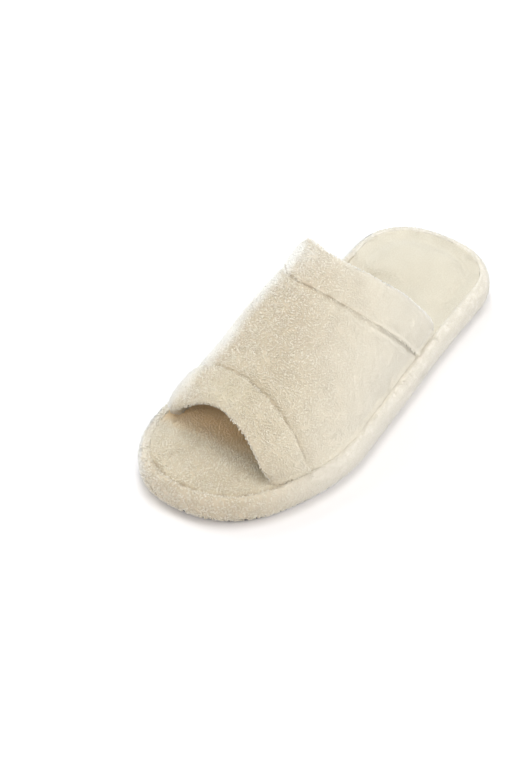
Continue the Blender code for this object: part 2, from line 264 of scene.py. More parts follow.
# patches of painted shade where the change is above 0, and of painted light below 0
PaintedLightAndShadePatch = namedtuple("PaintedLightAndShadePatch", "centre radius change")
PAINTED_LIGHT_AND_SHADE_PATCHES = (
    PaintedLightAndShadePatch((-8, -83, 48), 13, 0.55),  # toe roll's crown
    PaintedLightAndShadePatch((-4, -22, 72), 15, -0.35),  # band's crest
    PaintedLightAndShadePatch((0, 4, 82), 13, -0.35),  # rear roll's crest
    PaintedLightAndShadePatch((14, -40, 58), 15, -0.25),  # band, lateral of its crest
    PaintedLightAndShadePatch((-20, 3, 79), 14, -0.75),  # rear roll's medial shoulder
    PaintedLightAndShadePatch((-28, -22, 69), 13, -0.4),  # band's medial shoulder, from rear to toe
    PaintedLightAndShadePatch((-30, -47, 54), 12, -0.4),
    PaintedLightAndShadePatch((-34, -65, 46), 11, -0.4),
    PaintedLightAndShadePatch((-5, -108, 18), 16, -0.15),  # insole at the toe
    PaintedLightAndShadePatch((2, 85, 18), 42, 0.25),  # insole at the heel
)

# Colours, linear
# Roots are coloured deeper than tips in each look below, as painted shade down between the tufts
ROOT_PAINTED_SHADE_COLOUR = (0.69, 0.60, 0.45, 1.0)
TerryLook = namedtuple("TerryLook", "tip root thread")
TERRY_LOOKS = {
    "upper_terry": TerryLook((0.935, 0.895, 0.775, 1.0), ROOT_PAINTED_SHADE_COLOUR, 0.8),
    # the lining's warm tan is partly its own colour and partly painted warm shade inside the toe
    "lining_terry": TerryLook((0.95, 0.85, 0.66, 1.0), (0.88, 0.74, 0.52, 1.0), 0.4),
    # the band's tips are paler, partly its own colour and partly painted light on its lateral side
    "band_terry": TerryLook((0.945, 0.915, 0.825, 1.0), ROOT_PAINTED_SHADE_COLOUR, 0.9),
    "insole_terry": TerryLook((0.93, 0.895, 0.77, 1.0), (0.66, 0.57, 0.42, 1.0), 0.9),
}
SHADE_COLOUR = (0.635, 0.56, 0.42, 1.0)
WARM_TINT = (0.97, 0.91, 0.84, 1.0)
# a deeper tone of the nap, also the colour of painted shade in patches
NAP_AND_PAINTED_SHADE_COLOUR = (0.74, 0.67, 0.51, 1.0)
# painted highlight and painted light: the pale colour where the nap values fall below 0
PAINTED_HIGHLIGHT_COLOUR = (0.955, 0.935, 0.87, 1.0)
# painted warm shade on the insole under the upper
UNDER_UPPER_PAINTED_SHADE_COLOUR = (0.97, 0.75, 0.47, 1.0)
SEAM_COLOUR = (0.52, 0.43, 0.30, 1.0)
RUBBER_COLOUR = (0.10, 0.095, 0.09, 1.0)
RUBBER_PALE = (0.15, 0.14, 0.13, 1.0)

# Surfaces: noise by its scale and detail, stretched from one range to another, and constants of nodes
NoiseLook = namedtuple("NoiseLook", "scale detail low high to_low to_high")
WARM_PATCHES = NoiseLook(70.0, 2.0, 0.42, 0.68, 0.0, 0.12)
TERRY_ROUGHNESS = NoiseLook(900.0, 1.0, 0.3, 0.7, 0.88, 1.0)
RUBBER_PATCHES = NoiseLook(120.0, 3.0, 0.35, 0.7, 0.0, 1.0)
RUBBER_ROUGHNESS = NoiseLook(300.0, 2.0, 0.3, 0.7, 0.6, 0.8)
TERRY_FIBRES = {"Scale": 2400.0, "Detail": 2.0}
TERRY_BUMP = {"Strength": 0.35, "Distance": 0.3 * MM}
TERRY_SHADER = {
    "Specular IOR Level": 0.15,
    "Sheen Weight": 0.9,
    "Sheen Roughness": 0.4,
    "Sheen Tint": (1.0, 0.99, 0.97, 1.0),
}
RUBBER_PEBBLES = {"Scale": 420.0}
RUBBER_BUMP = {"Strength": 0.5, "Distance": 0.4 * MM}
FLOOR_SHADER = {
    "Base Color": (0.95, 0.935, 0.93, 1.0),
    "Roughness": 0.6,
    "Specular IOR Level": 0.2,
    "Emission Color": (1.0, 0.97, 0.965, 1.0),
    "Emission Strength": 0.02,
}
THREAD_START = 0.2  # a seam's thread shows from this nearness on
THREAD_FULL = 0.9
FLOOR_SIZE = 6.0

# Camera and light
CAMERA_PLACE = Vector((577.8, -999.3, 1021.3)) * MM
CAMERA_TARGET = Vector((-7.4, -61.3, 40.0)) * MM
CAMERA_ROLL = math.radians(1.08)
CAMERA_LENS = 130.74  # millimetres, as is the sensor
SENSOR = 36.0
CLIP_START = 0.05
CLIP_END = 20.0
WORLD_LIGHT = {"Color": (1.0, 1.0, 1.0, 1.0), "Strength": 0.22}
LAMP_TARGET = Vector((0.0, 0.0, 40 * MM))
Lamp = namedtuple("Lamp", "name place size power colour")
LAMPS = (
    Lamp("top", (0.0, 0.0, 1.6), 0.8, 7.2, (0.985, 0.985, 1.0)),
    Lamp("right", (1.05, 0.0, 0.95), 0.7, 5.8, (0.975, 0.98, 1.0)),
    Lamp("front", (0.0, -1.05, 0.95), 0.7, 1.6, (1.0, 0.91, 0.78)),
    Lamp("front_right", (0.74, -0.74, 0.95), 0.7, 3.0, (1.0, 0.965, 0.92)),
    Lamp("back_left", (-0.74, 0.74, 0.95), 0.7, 5.6, (0.80, 0.88, 1.0)),
    Lamp("left", (-1.05, 0.0, 0.95), 0.7, 4.0, (0.99, 1.0, 0.99)),
    Lamp("low_back", (0.0, 1.4, 0.28), 0.7, 1.6, (0.95, 0.97, 1.0)),
    Lamp("low_left", (-1.4, 0.0, 0.28), 0.7, 3.0, (0.93, 1.0, 0.90)),
    Lamp("low_front_left", (-0.99, -0.99, 0.28), 0.7, 5.0, (0.80, 0.85, 1.0)),
    Lamp("low_front", (0.0, -1.4, 0.28), 0.7, 2.5, (0.92, 0.905, 1.0)),
    Lamp("low_back_right", (0.99, 0.99, 0.28), 0.7, 7.9, (0.93, 0.95, 1.0)),
)


def smooth_step(value):
    """Ease from 0 to 1."""
    value = np.clip(value, 0.0, 1.0)
    return value * value * (3.0 - 2.0 * value)


def bell(distance, width):
    """1 at no distance, fading to nothing over a few widths."""
    return np.exp(-(distance / width) ** 2)


def eased(count):
    """Shares from 0 to 1, closer together towards both ends."""
    return (1.0 - np.cos(np.linspace(0.0, math.pi, count))) / 2.0


def unit(vectors):
    """Vectors scaled to length 1."""
    return vectors / np.maximum(np.linalg.norm(vectors, axis=-1, keepdims=True), SMALLEST_LENGTH)


def read_table(rows, column, places):
    """Read one column of a table at places along its first column, on a smooth curve."""
    knots = np.array([row[0] for row in rows])
    values = np.array([getattr(row, column) for row in rows])
    slopes = np.gradient(values, knots)
    slopes[0] = 0.0
    slopes[-1] = 0.0
    places = np.clip(places, knots[0], knots[-1])
    lower = np.clip(np.searchsorted(knots, places, side="right") - 1, 0, len(knots) - 2)
    span = knots[lower + 1] - knots[lower]
    share = (places - knots[lower]) / span
    start = values[lower] * (1 + 2 * share) + span * slopes[lower] * share
    end = values[lower + 1] * (3 - 2 * share) + span * slopes[lower + 1] * (share - 1)
    return start * (1 - share) ** 2 + end * share ** 2


def travelled(points):
    """Distance along a line of points, from its start."""
    steps = np.linalg.norm(np.diff(points, axis=0), axis=1)
    return np.concatenate([[0.0], np.cumsum(steps)])


def end_cap(share, power):
    """Half width of a round end, from 0 at its tip to 1 where it meets the side."""
    share = np.clip(share, 0.0, 1.0)
    return (1.0 - (1.0 - share) ** power) ** (1.0 / power)


def raw_half_outline(along, side, sign):
    """X of one side of the sole at shares of the length, before the outline is centred."""
    width = read_table(SOLE_SECTIONS, side, along)
    width = width * end_cap(along / HEEL_CAP_SHARE, HEEL_CAP_POWER)
    width = width * end_cap((1.0 - along) / TOE_CAP_SHARE, TOE_CAP_POWER)
    swing = np.clip((along - SWING_START) / (1.0 - SWING_START), 0.0, 1.0) ** 2
    return sign * width - TOE_SWING * swing


def sole_outline(count):
    """The sole's outline seen from above, anticlockwise from the heel, evenly spaced."""
    along = eased(PATH_SAMPLES)
    lateral_x = raw_half_outline(along, "lateral", 1.0)
    medial_x = raw_half_outline(along, "medial", -1.0)
    centring = -(lateral_x.max() + medial_x.min()) / 2.0
    y = SOLE_LENGTH * (0.5 - along)
    medial = np.stack([medial_x + centring, y], axis=1)
    lateral = np.stack([lateral_x + centring, y], axis=1)
    closed = np.vstack([medial[:-1], lateral[::-1]])
    along_line = travelled(closed)
    wanted = np.linspace(0.0, along_line[-1], count, endpoint=False)
    columns = [np.interp(wanted, along_line, closed[:, axis]) for axis in range(2)]
    return np.stack(columns, axis=1)


def inward_directions(outline):
    """Unit directions from an anticlockwise outline to its inside."""
    along = np.roll(outline, -1, axis=0) - np.roll(outline, 1, axis=0)
    inward = np.stack([-along[:, 1], along[:, 0]], axis=1)
    return unit(inward)


def inset_sides(inset):
    """A line inside the sole's outline, as a medial and a lateral half, toe to heel."""
    outline = sole_outline(FOOTPRINT_POINTS)
    line = outline + inset * inward_directions(outline)
    line = np.roll(line, -np.argmax(line[:, 1]), axis=0)
    toe = np.argmin(line[:, 1])
    return line[toe::-1], line[toe:]


FOOTPRINT = inset_sides(UPPER_INSET)


def edge_line_y(line, angle):
    """Y of one edge of the upper at angles over the foot, 0 lateral to pi medial."""
    middle = (line.lateral + line.medial) / 2.0
    half = (line.lateral - line.medial) / 2.0
    return middle + half * np.cos(angle) + (line.crest - middle) * np.sin(angle) ** line.lean


def toe_droop(medial):
    """How far the toe roll's lip hangs, at shares of the way from lateral to medial."""
    shape = medial ** DROOP_POWER * (1.0 - medial)
    peak = DROOP_POWER ** DROOP_POWER / (DROOP_POWER + 1.0) ** (DROOP_POWER + 1)
    return TOE_DROOP * shape / peak


def middle_surface(share, angle):
    """Points of the upper's middle: share 0 is the toe edge, 1 the rear edge."""
    front = edge_line_y(FRONT_EDGE, angle)
    rear = edge_line_y(REAR_EDGE, angle)
    y = front + (rear - front) * share
    medial, lateral = [np.interp(y, side[:, 1], side[:, 0]) for side in FOOTPRINT]
    across = np.cos(angle)
    up = np.clip(np.sin(angle), 0.0, 1.0)
    power = 2.0 / read_table(ARCH_SECTIONS, "squareness", y)
    reach = np.sign(across) * np.abs(across) ** power
    x = (lateral + medial) / 2.0 - CREST_SHIFT * up + (lateral - medial) / 2.0 * reach
    hang = toe_droop((1.0 - across) / 2.0)
    over_roll = np.clip(1.0 - (y - front) / FRONT_EDGE.roll, 0.0, 1.0)
    z = UPPER_BASE + read_table(ARCH_SECTIONS, "crest", y) * up ** power - hang * over_roll ** 2
    return np.stack([x, y, z], axis=-1)


def roll_width(line, share, angle):
    """A roll's width along a section that may cross the upper's edge at a slant."""
    inside = abs(share - SLANT_STEP)
    across = middle_surface(inside, angle) - middle_surface(share, angle)
    angles = np.clip([angle - SLANT_STEP, angle + SLANT_STEP], 0.0, math.pi)
    along = middle_surface(share, angles[1]) - middle_surface(share, angles[0])
    lengths = np.linalg.norm(across) * np.linalg.norm(along)
    square_across = line.roll + (line.medial_roll - line.roll) * smooth_step(-math.cos(angle))
    return square_across * lengths / np.linalg.norm(np.cross(across, along))


def half_wall(from_lip, width):
    """Half the wall: a round lip, a puffed roll, a pinch at its seam, then the plain cloth."""
    across_roll = np.clip(from_lip / width, 0.0, 1.0)
    puff = (1.0 - np.abs(2.0 * across_roll - 1.0) ** ROLL_POWER) ** (1.0 / ROLL_POWER)
    floor = np.where(across_roll < 0.5, 0.0, SEAM_WALL)
    roll = floor + (ROLL_THICKNESS - floor) * puff
    band = SEAM_WALL + (WALL - SEAM_WALL) * smooth_step((from_lip - width) / SEAM_REACH)
    return 0.5 * np.where(from_lip < width, roll, band)


def pressed(half, at_base, above_base):
    """One side of the wall, pressed thinner where it is sewn to the sole."""
    thin = np.minimum(half, at_base)
    return thin + (half - thin) * smooth_step(above_base / PRESSED_HEIGHT)


def roll_stations(width):
    """Distances from a lip to a section's points: round the roll, then past its seam."""
    roll = width * eased(ROLL_STEPS + 1)
    past = width + SEAM_REACH * np.arange(1, REACH_STEPS + 1) / REACH_STEPS
    return np.concatenate([roll, past])


# Along one section: the wall's middle and half thickness, how far each point is past its roll's
# seam, how near each lip it is, from 0 to 1, and its share of the way from seam to seam
WallSection = namedtuple("WallSection", "middle half past_seam front_lip rear_lip body")


def wall_section(angle):
    """The wall from toe edge to rear edge at one angle."""
    fine = middle_surface(np.linspace(0.0, 1.0, PATH_SAMPLES), angle)
    along_line = travelled(fine)
    length = along_line[-1]
    front_width = roll_width(FRONT_EDGE, 0.0, angle)
    rear_width = roll_width(REAR_EDGE, 1.0, angle)
    front = roll_stations(front_width)
    rear = length - roll_stations(rear_width)[::-1]
    between = np.linspace(front[-1], rear[0], BODY_STEPS + 2)[1:-1]
    stations = np.concatenate([front, between, rear])
    middle = [np.interp(stations, along_line, fine[:, axis]) for axis in range(3)]
    from_rear = length - stations
    nearer_front = stations < length / 2.0
    from_lip = np.where(nearer_front, stations, from_rear)
    width = np.where(nearer_front, front_width, rear_width)
    half = half_wall(from_lip, width)
    front_lip = np.clip(1.0 - stations / front_width, 0.0, 1.0)
    rear_lip = np.clip(1.0 - from_rear / rear_width, 0.0, 1.0)
    body = np.clip((stations - front_width) / (length - front_width - rear_width), 0.0, 1.0)
    return WallSection(np.stack(middle, axis=1), half, from_lip - width, front_lip, rear_lip, body)


def even_angles():
    """Angles over the foot, evenly spaced along the middle of the upper."""
    fine = np.linspace(0.0, math.pi, PATH_SAMPLES)
    along_line = travelled(middle_surface(0.5, fine))
    return np.interp(np.linspace(0.0, along_line[-1], ARCH_STEPS + 1), along_line, fine)


def outward_normals(points):
    """Unit normals of rings of points, turned away from their middles."""
    along = np.gradient(points, axis=0)
    around = np.roll(points, -1, axis=1) - np.roll(points, 1, axis=1)
    normals = unit(np.cross(along, around))
    from_middle = points - points.mean(axis=1, keepdims=True)
    if (normals * from_middle).sum() < 0.0:
        normals = -normals
    return normals


def lumps(points, length, depth):
    """Soft unevenness of the stuffing, as distances along the normals."""
    flat = points.reshape(-1, 3) / length
    heights = [noise.noise(place) for place in flat.tolist()]
    return depth * np.array(heights).reshape(points.shape[:2])


def dashes(points, worn):
    """How far a stitched line shows: in dashes, but evenly where the pile is worn."""
    shown = smooth_step(DASH_SHARE + lumps(points, DASH_LENGTH, DASH_CONTRAST))
    return 1.0 - (1.0 - worn) * (1.0 - shown)


def creased(points):
    """Depth of the creases at each point: a soft trough along each one's line."""
    depth = np.zeros(points.shape[:2])
    for row in CREASES:
        start = np.array(row.start) * MM
        line = np.array(row.end) * MM - start
        along = np.clip((points - start) @ line / (line @ line), 0.0, 1.0)
        distance = np.linalg.norm(points - start - along[:, :, None] * line, axis=2)
        depth += row.depth * MM * bell(distance, row.width * MM)
    return depth


def worn_share(points):
    """How far the pile is pressed and the seams filled: 1 along the lateral side and at the heel."""
    lateral = smooth_step((points @ WORN_WAY - WORN_START) / WORN_SPAN)
    return np.maximum(lateral, smooth_step((points[..., 1] - WORN_HEEL_START) / WORN_HEEL_SPAN))


def evenness(points):
    """How evenly the pile is shaded and how much paler it is, partly painted light: 1 where it is worn,
    less along the medial side, 0 elsewhere.
    """
    medial = smooth_step((-points[..., 0] - MEDIAL_START) / MEDIAL_SPAN)
    return np.maximum(worn_share(points), MEDIAL_EVENNESS * medial)


def medial_toe(points):
    """1 along the medial side of the toe, where rim and seam hardly show, fading to 0."""
    medial = smooth_step((-points[..., 0] - RIM_START) / RIM_FADE)
    return medial * smooth_step((RIM_END - points[..., 1]) / RIM_FADE)


# A terry surface: a grid of points and their normals, and for each point how near a seam it is and
# how far under the upper, both from 0 to 1, and its nap values: a deeper tone with painted highlight,
# painted light and painted shade
Cloth = namedtuple("Cloth", "points normals seam inside nap")


def finished_cloth(points, seam, inside, calm, level):
    """A terry surface with its nap values, painted highlight and patches of painted light and shade
    among them, and its normals turned to a level where it is calm.
    """
    normals = outward_normals(points)
    normals = unit(normals * (1.0 - calm[:, :, None]) + level * calm[:, :, None])
    # painted highlight where the cloth faces the medial side or the heel
    facing = np.maximum(-normals[:, :, 0], normals[:, :, 1])
    painted_highlight = smooth_step((facing - PAINTED_HIGHLIGHT_START) / PAINTED_HIGHLIGHT_SPAN)
    nap = NAP_SHADE * (1.0 - painted_highlight) - PAINTED_HIGHLIGHT_SHARE * painted_highlight
    # patches of painted shade and painted light
    for patch in PAINTED_LIGHT_AND_SHADE_PATCHES:
        distance = np.linalg.norm(points - np.array(patch.centre) * MM, axis=2)
        nap += patch.change * bell(distance, patch.radius * MM)
    nap = np.clip(nap, -1.0, 1.0)
    return Cloth(points, normals, seam, inside, nap)


def soft_wall(angles):
    """The upper's wall with rounded roll ends and an arched lip, and how near the sole each point is."""
    sections = [wall_section(angle) for angle in angles]
    wall = WallSection(*[np.array(grid) for grid in zip(*sections)])
    low = 1.0 - smooth_step((wall.middle[:, :, 2] - UPPER_BASE) / ROUND_HEIGHT)
    lip = wall.front_lip ** 2
    crown = bell(angles - LIP_CROWN, LIP_CROWN_WIDTH)[:, None]
    crown_side = bell(angles - LIP_CROWN_SIDE, LIP_CROWN_WIDTH)[:, None]
    wall.middle[:, :, 0] += LIP_SHIFT * crown * lip
    wall.middle[:, :, 1] += ROUND_PULL * low * (lip - wall.rear_lip ** 2)
    wall.middle[:, :, 2] += LIP_LIFT * (1.0 - low) * lip
    wall.middle[:, :, 2] += LIP_CROWN_LIFT * crown_side * lip
    return wall, low


def wall_normals(middle):
    """Unit normals of the upper's middle, out of the foot and level along both sewn edges."""
    normal = np.cross(np.gradient(middle, axis=1), np.gradient(middle, axis=0))
    normal[[0, -1], :, 2] = 0.0
    normal = unit(normal)
    if normal[ARCH_STEPS // 2, middle.shape[1] // 2, 2] < 0.0:
        normal = -normal
    return normal


def upper_swell(outer, wall, above_base, at_base, worn):
    """How far the upper's outside swells out, or below 0 sinks in."""
    stitched = np.abs(wall.past_seam)
    toe_half = np.arange(stitched.shape[1]) < stitched.shape[1] // 2
    fill = np.where(toe_half, TOE_SEAM_FILL, REAR_SEAM_FILL) + ROLL_GROOVE_FILL * worn
    swell = fill * bell(stitched, SEAM_WIDTH)
    swell += SHOULDER_PUFF * bell(wall.past_seam - SHOULDER_PLACE, SHOULDER_WIDTH)
    swell += lumps(outer, PUCKER_LENGTH, PUCKER_DEPTH) * np.exp(-stitched / PUCKER_REACH)
    swell += lumps(outer, LUMP_LENGTH, LUMP_DEPTH) - creased(outer)
    swell += BODY_PUFF * np.sin(math.pi * wall.body) * smooth_step(above_base / BODY_PUFF_HEIGHT)
    swell -= PILE_INSET * (1.0 - at_base)
    swell += BASE_FLARE * bell(above_base, BASE_FLARE_HEIGHT) * worn
    return swell


def ringed(outside, inside):
    """Values along the outside from toe to rear, then back along the inside between the lips."""
    return np.concatenate([outside, inside[:, -2:0:-1]], axis=1)


def upper_cloth():
    """The upper as rings round its wall: outside from toe to rear, then back along the inside."""
    angles = even_angles()
    wall, low = soft_wall(angles)
    normal = wall_normals(wall.middle)
    above_base = wall.middle[:, :, 2] - UPPER_BASE
    outer_half = wall.half * (1.0 - LIP_FALL * wall.front_lip ** 2)
    outer_half = pressed(outer_half, OUTER_AT_BASE, above_base)
    medial = smooth_step(-np.cos(angles))[:, None]
    end_puff = ROLL_END_PUFF * medial * smooth_step(wall.front_lip / ROLL_END_REACH)
    inner_half = wall.half * (1.0 - LIP_THINNING * wall.front_lip * (1.0 - low))
    inner_half = pressed(inner_half, INNER_AT_BASE + end_puff, above_base)
    outer = wall.middle + normal * outer_half[:, :, None]
    inner = wall.middle - normal * inner_half[:, :, None]
    points = ringed(outer, inner)
    worn = worn_share(outer)
    at_base = bell(np.maximum(above_base, 0.0), SEAM_NEAR)
    swell = upper_swell(outer, wall, above_base, at_base, worn)
    swell = ringed(swell, np.full_like(swell, -PILE_INSET))
    points = points + outward_normals(points) * swell[:, :, None]
    points[[0, -1], :, 2] -= TUCK_DEPTH
    stitched = np.abs(wall.past_seam)
    base_thread = BASE_THREAD * at_base * (1.0 - SOLE_SEAM_FADE * worn)
    on_seam = bell(stitched, SEAM_NEAR) * (1.0 - ROLL_SEAM_FADE * worn) * dashes(outer, 0.0)
    seam = ringed(np.maximum(on_seam, base_thread), base_thread)
    beside_base = bell(above_base, CALM_WIDTH)
    calm = np.maximum(bell(stitched, CALM_WIDTH), beside_base) * worn
    calm = ringed(calm, np.zeros_like(calm))
    level = unit(normal + UP * beside_base[:, :, None])
    return finished_cloth(points, seam, np.zeros_like(seam), calm, ringed(level, level))


def band_profile():
    """The wrapped band's edge from its underside over the rim to the seam, evenly spaced."""
    rows = np.array(BAND_EDGE)
    places = [EdgePlace(*values) for values in np.column_stack([travelled(rows), rows])]
    wanted = np.linspace(0.0, places[-1].travel, BAND_ROWS)
    return read_table(places, "inset", wanted), read_table(places, "height", wanted)


def band_cloth():
    """The wrapped band: rows round the sole's outline, from its underside to the seam."""
    outline = sole_outline(BAND_POINTS)
    inward = inward_directions(outline)
    medial = medial_toe(outline)
    worn = worn_share(np.column_stack([outline, np.zeros(len(outline))]))
    open_groove = (1.0 - worn) * (1.0 - medial)
    rows = []
    for inset, height in zip(*band_profile()):
        ring = outline + inset * inward
        on_top = smooth_step((height - RIM_HEIGHT) / (SEAM_HEIGHT - RIM_HEIGHT))
        on_rim = bell(inset - RIM_INSET, RIM_WIDTH) * on_top
        height = height - RIM_DROP * on_rim * medial
        height += GROOVE_FILL * bell(inset - SEAM_INSET, GROOVE_WIDTH) * on_top * worn
        height -= TOE_GROOVE * bell(inset - SEAM_INSET, TOE_GROOVE_WIDTH) * on_top * open_groove
        rows.append(np.column_stack([ring, height]))
    points = np.array(rows)
    normals = outward_normals(points)
    from_seam = np.linalg.norm(points - points[-1:], axis=2)
    seam = bell(from_seam, SOLE_SEAM_NEAR)
    shape = lumps(points, SOLE_LUMP_LENGTH, LUMP_DEPTH) - PILE_INSET * (1.0 - seam)
    points = points + normals * shape[:, :, None]
    calm = bell(from_seam, CALM_WIDTH) * np.maximum(worn, medial)
    seam = seam * (1.0 - medial) * (1.0 - SOLE_SEAM_FADE * worn) * dashes(points, worn)
    return finished_cloth(points, seam, np.zeros_like(seam), calm, UP)


def insole_plan():
    """Places of the insole's top seen from above, in rows across the foot from toe to heel."""
    medial_line, lateral_line = inset_sides(SEAM_INSET + GAP)
    toe = max(medial_line[0, 1], lateral_line[0, 1]) + END_MARGIN
    heel = min(medial_line[-1, 1], lateral_line[-1, 1]) - END_MARGIN
    y = toe + (heel - toe) * eased(INSOLE_ROWS)
    medial = np.interp(y, medial_line[:, 1], medial_line[:, 0])
    lateral = np.interp(y, lateral_line[:, 1], lateral_line[:, 0])
    x = medial[:, None] + (lateral - medial)[:, None] * eased(INSOLE_COLUMNS)
    return np.stack([x, np.broadcast_to(y[:, None], x.shape)], axis=-1)


def insole_cloth():
    """The insole as rings across the foot: its top from medial to lateral, then its underside."""
    plan = insole_plan()
    outline = sole_outline(FOOTPRINT_POINTS)
    inset = np.array([
        np.linalg.norm(row[:, None] - outline[None, :], axis=2).min(axis=1) for row in plan
    ])
    height = read_table(INSOLE_EDGE, "height", inset)
    top = np.concatenate([plan, height[:, :, None]], axis=2)
    from_seam = inset - SEAM_INSET
    edge = bell(from_seam, SOLE_SEAM_NEAR)
    hidden = medial_toe(top)
    worn = worn_share(top)
    filled = np.maximum(hidden, worn)
    # how far under the upper: there the insole gets painted warm shade, fewer tufts and a lower edge
    covered = smooth_step((plan[:, :, 1] - COVER_START) / COVER_FADE)
    covered = covered * smooth_step((COVER_END - plan[:, :, 1]) / COVER_FADE)
    top[:, :, 2] += lumps(top, SOLE_LUMP_LENGTH, LUMP_DEPTH)
    top[:, :, 2] -= PILE_INSET * (1.0 - edge * filled)
    beside_seam = bell(from_seam, INSOLE_GROOVE_WIDTH)
    top[:, :, 2] += beside_seam * (GROOVE_FILL * worn * (1.0 - covered) - COVERED_DROP * covered)
    open_groove = (1.0 - worn) * (1.0 - hidden)
    top[:, :, 2] -= TOE_GROOVE * bell(from_seam, TOE_GROOVE_WIDTH) * open_groove
    under = top[:, ::-1].copy()
    under[:, :, 2] = RECESS_HEIGHT + GAP
    points = np.concatenate([top, under], axis=1)
    edge = edge * (1.0 - hidden) * (1.0 - SOLE_SEAM_FADE * worn) * dashes(top, worn)
    seam = np.concatenate([edge, edge[:, ::-1]], axis=1)
    calm = bell(from_seam, CALM_WIDTH) * filled
    calm = np.concatenate([calm, np.zeros_like(calm)], axis=1)
    covered = np.concatenate([covered, covered[:, ::-1]], axis=1)
    return finished_cloth(points, seam, covered, calm, UP)


def add_piece(name, points, faces, material, values):
    """Make one smooth mesh piece that rides on the slipper, with named values at its points."""
    mesh = bpy.data.meshes.new(name)
    mesh.from_pydata(points.reshape(-1, 3).tolist(), [], faces)
    mesh.shade_smooth()
    for key, numbers in values.items():
        layer = mesh.attributes.new(key, "FLOAT", "POINT")
        layer.data.foreach_set("value", np.ravel(numbers).astype(np.float32))
    mesh.materials.append(material)
    piece = bpy.data.objects.new(name, mesh)
    bpy.context.collection.objects.link(piece)
    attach(piece, "root")
    return piece


def face_outward(piece):
    """Turn a closed piece's faces outward."""
    mesh_data = bmesh.new()
    mesh_data.from_mesh(piece.data)
    bmesh.ops.recalc_face_normals(mesh_data, faces=mesh_data.faces[:])
    mesh_data.to_mesh(piece.data)
    mesh_data.free()
    return piece


def ring_faces(rows, columns):
    """Faces between rows of points that each close into a ring."""
    faces = []
    for row in range(rows - 1):
        for column in range(columns):
            after = (column + 1) % columns
            here = row * columns
            above = here + columns
            faces.append((here + column, here + after, above + after, above + column))
    return faces


def ring_piece(name, cloth, outside, material):
    """A closed piece from rings of points, its first points outside, with both ends closed."""
    rows, columns = cloth.seam.shape
    faces = ring_faces(rows, columns)
    for first in (0, (rows - 1) * columns):
        there = [first + index for index in range(outside)]
        back = [first + index for index in range(columns - 1, outside - 1, -1)]
        if len(back) < len(there):
            back = there[:1] + back + there[-1:]
        for index in range(outside - 1):
            corners = (there[index], there[index + 1], back[index + 1], back[index])
            faces.append(tuple(dict.fromkeys(corners)))
    values = {"seam": cloth.seam, "inside": cloth.inside, "nap": cloth.nap}
    # the cloth under the pile takes the roots' painted shade, less where the pile is even
    values["pile"] = WORN_ROOTS * evenness(cloth.points)
    return face_outward(add_piece(name, cloth.points, faces, material, values))


def band_piece(name, cloth, material):
    """The wrapped band with its closed underside and the recess that the insole lies in."""
    recess = cloth.points[-1:].copy()
    recess[:, :, 2] = RECESS_HEIGHT
    points = np.concatenate([cloth.points, recess])
    seam = np.concatenate([cloth.seam, np.ones_like(cloth.seam[:1])])
    rows, columns = seam.shape
    faces = ring_faces(rows, columns)
    faces.append(tuple(range(columns)))
    faces.append(tuple(range((rows - 1) * columns, rows * columns)))
    # the cloth under the pile takes the roots' painted shade, less where the pile is even
    values = {"seam": seam, "pile": WORN_ROOTS * evenness(points)}
    return face_outward(add_piece(name, points, faces, material, values))


def cell_areas(points):
    """Area of each cell of a grid of points."""
    down = points[1:, :-1] - points[:-1, :-1]
    across = points[:-1, 1:] - points[:-1, :-1]
    return np.linalg.norm(np.cross(down, across), axis=2)


# Places on a grid: the row and column of a cell, and shares of the way over it
Roots = namedtuple("Roots", "row column row_share column_share")


def spread_roots(areas, chance):
    """Even but not regular places on a grid, about one in each square of the tufts' spacing."""
    count = int(areas.sum() / TUFT_SPACING ** 2)
    index = np.arange(count)
    first = (index + chance.uniform(-ROOT_STRAY, ROOT_STRAY, count) + 0.5) / count
    stray = chance.uniform(-ROOT_STRAY, ROOT_STRAY, count) / math.sqrt(count)
    second = (index * GOLDEN_SHARE + stray) % 1.0
    rows, columns = areas.shape
    row_ends = np.concatenate([[0.0], np.cumsum(areas.sum(axis=1))])
    row_place = np.interp(first, row_ends / row_ends[-1], np.arange(rows + 1))
    row = np.clip(row_place.astype(int), 0, rows - 1)
    ends = np.cumsum(areas, axis=1)
    ends = ends / np.maximum(ends[:, -1:], SMALLEST_AREA)
    keys = (ends + np.arange(rows)[:, None]).ravel()
    column = np.clip(np.searchsorted(keys, row + second) - row * columns, 0, columns - 1)
    before = np.where(column > 0, ends[row, column - 1], 0.0)
    column_share = (second - before) / np.maximum(ends[row, column] - before, SMALLEST_AREA)
    return Roots(row, column, row_place - row, np.clip(column_share, 0.0, 1.0))


def at_roots(values, roots):
    """Read a grid's values at places between its points."""
    extra = (None,) * (values.ndim - 2)
    row_share = roots.row_share[(slice(None),) + extra]
    column_share = roots.column_share[(slice(None),) + extra]
    near = values[roots.row, roots.column] * (1 - column_share)
    near = near + values[roots.row, roots.column + 1] * column_share
    far = values[roots.row + 1, roots.column] * (1 - column_share)
    far = far + values[roots.row + 1, roots.column + 1] * column_share
    return near * (1 - row_share) + far * row_share


def seam_cover(cloth):
    """How thickly the pile stands in each cell of a cloth: thinned along a fresh seam."""
    bare = SEAM_BARE * cloth.seam ** 2 * (1.0 - evenness(cloth.points))
    return 1.0 - bare[:-1, :-1]


def tuft_lean(place, normal, chance):
    """Ways along the cloth in which tufts lean: together in patches, and each a little astray."""
    nap = np.array([noise.noise_vector(spot) for spot in (place / NAP_LENGTH).tolist()])
    lean = unit(nap) + NAP_SPREAD * unit(chance.normal(size=place.shape))
    return unit(lean - normal * (lean * normal).sum(axis=1, keepdims=True))


